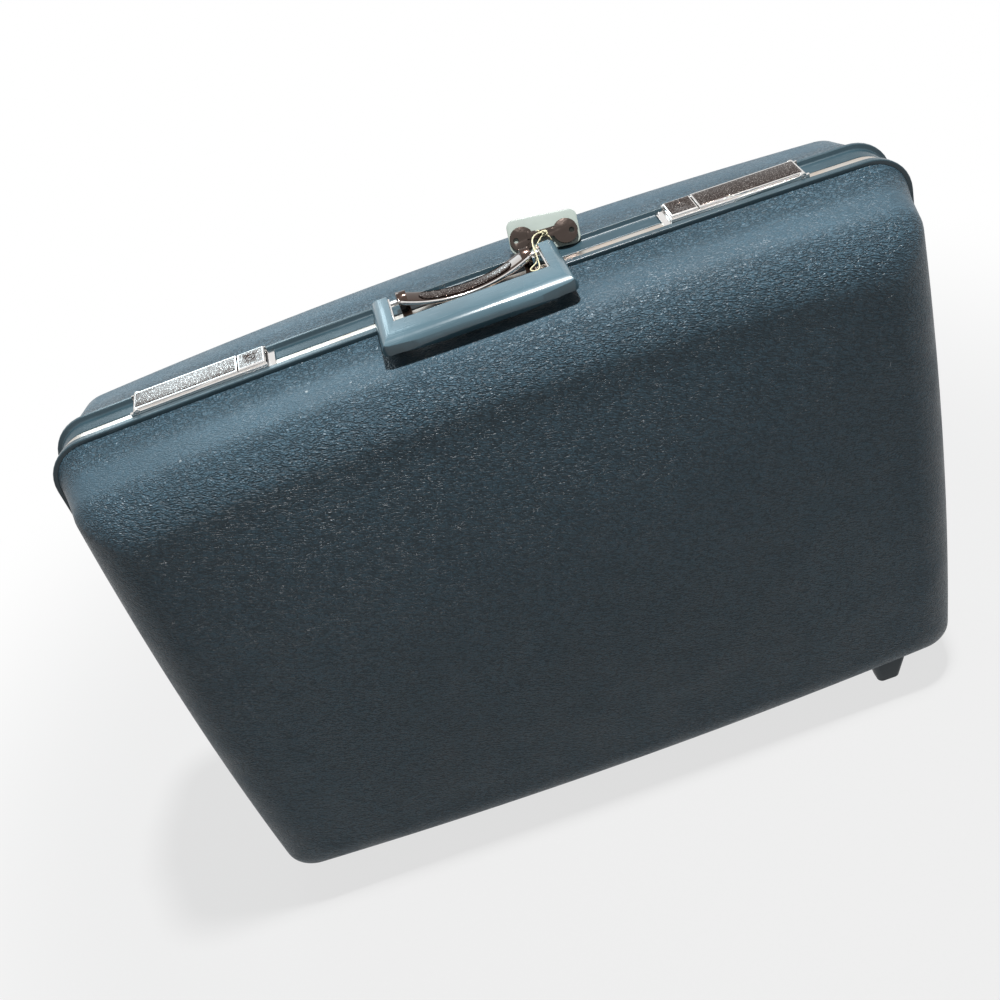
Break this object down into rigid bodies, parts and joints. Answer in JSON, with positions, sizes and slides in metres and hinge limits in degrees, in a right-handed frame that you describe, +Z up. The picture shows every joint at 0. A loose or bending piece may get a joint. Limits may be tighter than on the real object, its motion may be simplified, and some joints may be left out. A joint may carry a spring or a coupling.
{
  "type": "suitcase",
  "caption": "Hard-shell suitcase of two moulded half shells on a hinged metal frame, with a folding handle, two latches with locks and a lined inside.",
  "frame": {"origin": "on the floor under the middle of the case, in the parting plane between the two halves", "axes": "+X along the width, to the right seen from the front; +Y towards the back; +Z up, from the feet to the handle"},
  "size_m": [0.6598, 0.2006, 0.5102],
  "materials": {
    "shell": "leather grain, moulded",
    "rim_plastic": "smooth satin",
    "frame_metal": "drawn satin",
    "inner_frame": "mill finish",
    "lining": "satin weave",
    "strap": "ribbed webbing",
    "foot": "fine texture",
    "hinge_steel": "zinc plated",
    "chrome": "bright plated",
    "latch_inlay": "stippled plate",
    "handle": "smooth moulded",
    "tag": "smooth",
    "key_metal": "worn",
    "string": "twisted cotton"
  },
  "bodies": {
    "front_half": {"front_shell": "shell", "front_rim": "rim_plastic", "front_frame": "frame_metal", "front_lining": "lining", "strap_left": "strap", "strap_right": "strap", "buckle_left": "chrome", "buckle_right": "chrome", "foot_front_left": "foot", "foot_front_right": "foot", "hinge_leaf_front_left": "hinge_steel", "hinge_leaf_front_right": "hinge_steel", "hinge_pin_left": "hinge_steel", "hinge_pin_right": "hinge_steel", "hinge_rivets_front": "hinge_steel", "latch_base_left": "chrome", "latch_base_right": "chrome", "latch_pin_left": "hinge_steel", "latch_pin_right": "hinge_steel", "latch_spring_left": "hinge_steel", "latch_spring_right": "hinge_steel", "latch_rivets": "hinge_steel", "saddle_plate": "chrome", "saddle_inlay": "latch_inlay", "handle_pin_left": "hinge_steel", "handle_pin_right": "hinge_steel", "key_tag": "tag", "keys": "key_metal", "string_knot": "string", "tag_string": "string"},
    "lid": {"back_shell": "shell", "back_band": "rim_plastic", "back_frame": "inner_frame", "back_lining": "lining", "pocket": "lining", "pocket_elastic": "lining", "foot_back_left": "foot", "foot_back_right": "foot", "hinge_leaf_back_left": "hinge_steel", "hinge_leaf_back_right": "hinge_steel", "hinge_rivets_back": "hinge_steel", "strike_plate_left": "hinge_steel", "strike_plate_right": "hinge_steel"},
    "handle": {"handle_grip": "handle", "handle_lug_left": "chrome", "handle_lug_right": "chrome"},
    "lever_left": {"latch_lever_left": "chrome", "latch_inlay_left": "latch_inlay"},
    "button_left": {"latch_button_left": "chrome"},
    "lock_left": {"lock_cylinder_left": "chrome"},
    "lever_right": {"latch_lever_right": "chrome", "latch_inlay_right": "latch_inlay"},
    "button_right": {"latch_button_right": "chrome"},
    "lock_right": {"lock_cylinder_right": "chrome"}
  },
  "joints": [
    {"name": "lid_hinge", "type": "hinge", "parent": "front_half", "child": "lid", "pos_m": [0, 0, 0.01325], "axis": [-1, 0, 0], "range_deg": [0, 110]},
    {"name": "handle_pivot", "type": "hinge", "parent": "front_half", "child": "handle", "pos_m": [0, 0, 0.4957], "axis": [-1, 0, 0], "range_deg": [0, 100]},
    {"name": "lever_left_pivot", "type": "hinge", "parent": "front_half", "child": "lever_left", "pos_m": [-0.25118, 0.0015, 0.48771], "axis": [0, -1, 0], "range_deg": [0, 55]},
    {"name": "button_left_slide", "type": "slide", "parent": "front_half", "child": "button_left", "axis": [0.9998, 0, 0.0192], "range_m": [0, 0.005], "stiffness_N_per_m": 200, "springref_m": -0.004},
    {"name": "lock_left_turn", "type": "hinge", "parent": "button_left", "child": "lock_left", "pos_m": [-0.16335, 0.0015, 0.4923], "axis": [-0.0192, 0, 0.9998], "range_deg": [0, 90]},
    {"name": "lever_right_pivot", "type": "hinge", "parent": "front_half", "child": "lever_right", "pos_m": [0.25118, 0.0015, 0.48771], "axis": [0, 1, 0], "range_deg": [0, 55]},
    {"name": "button_right_slide", "type": "slide", "parent": "front_half", "child": "button_right", "axis": [-0.9998, 0, 0.0192], "range_m": [0, 0.005], "stiffness_N_per_m": 200, "springref_m": -0.004},
    {"name": "lock_right_turn", "type": "hinge", "parent": "button_right", "child": "lock_right", "pos_m": [0.16335, 0.0015, 0.4923], "axis": [0.0192, 0, 0.9998], "range_deg": [0, 90]}
  ]
}
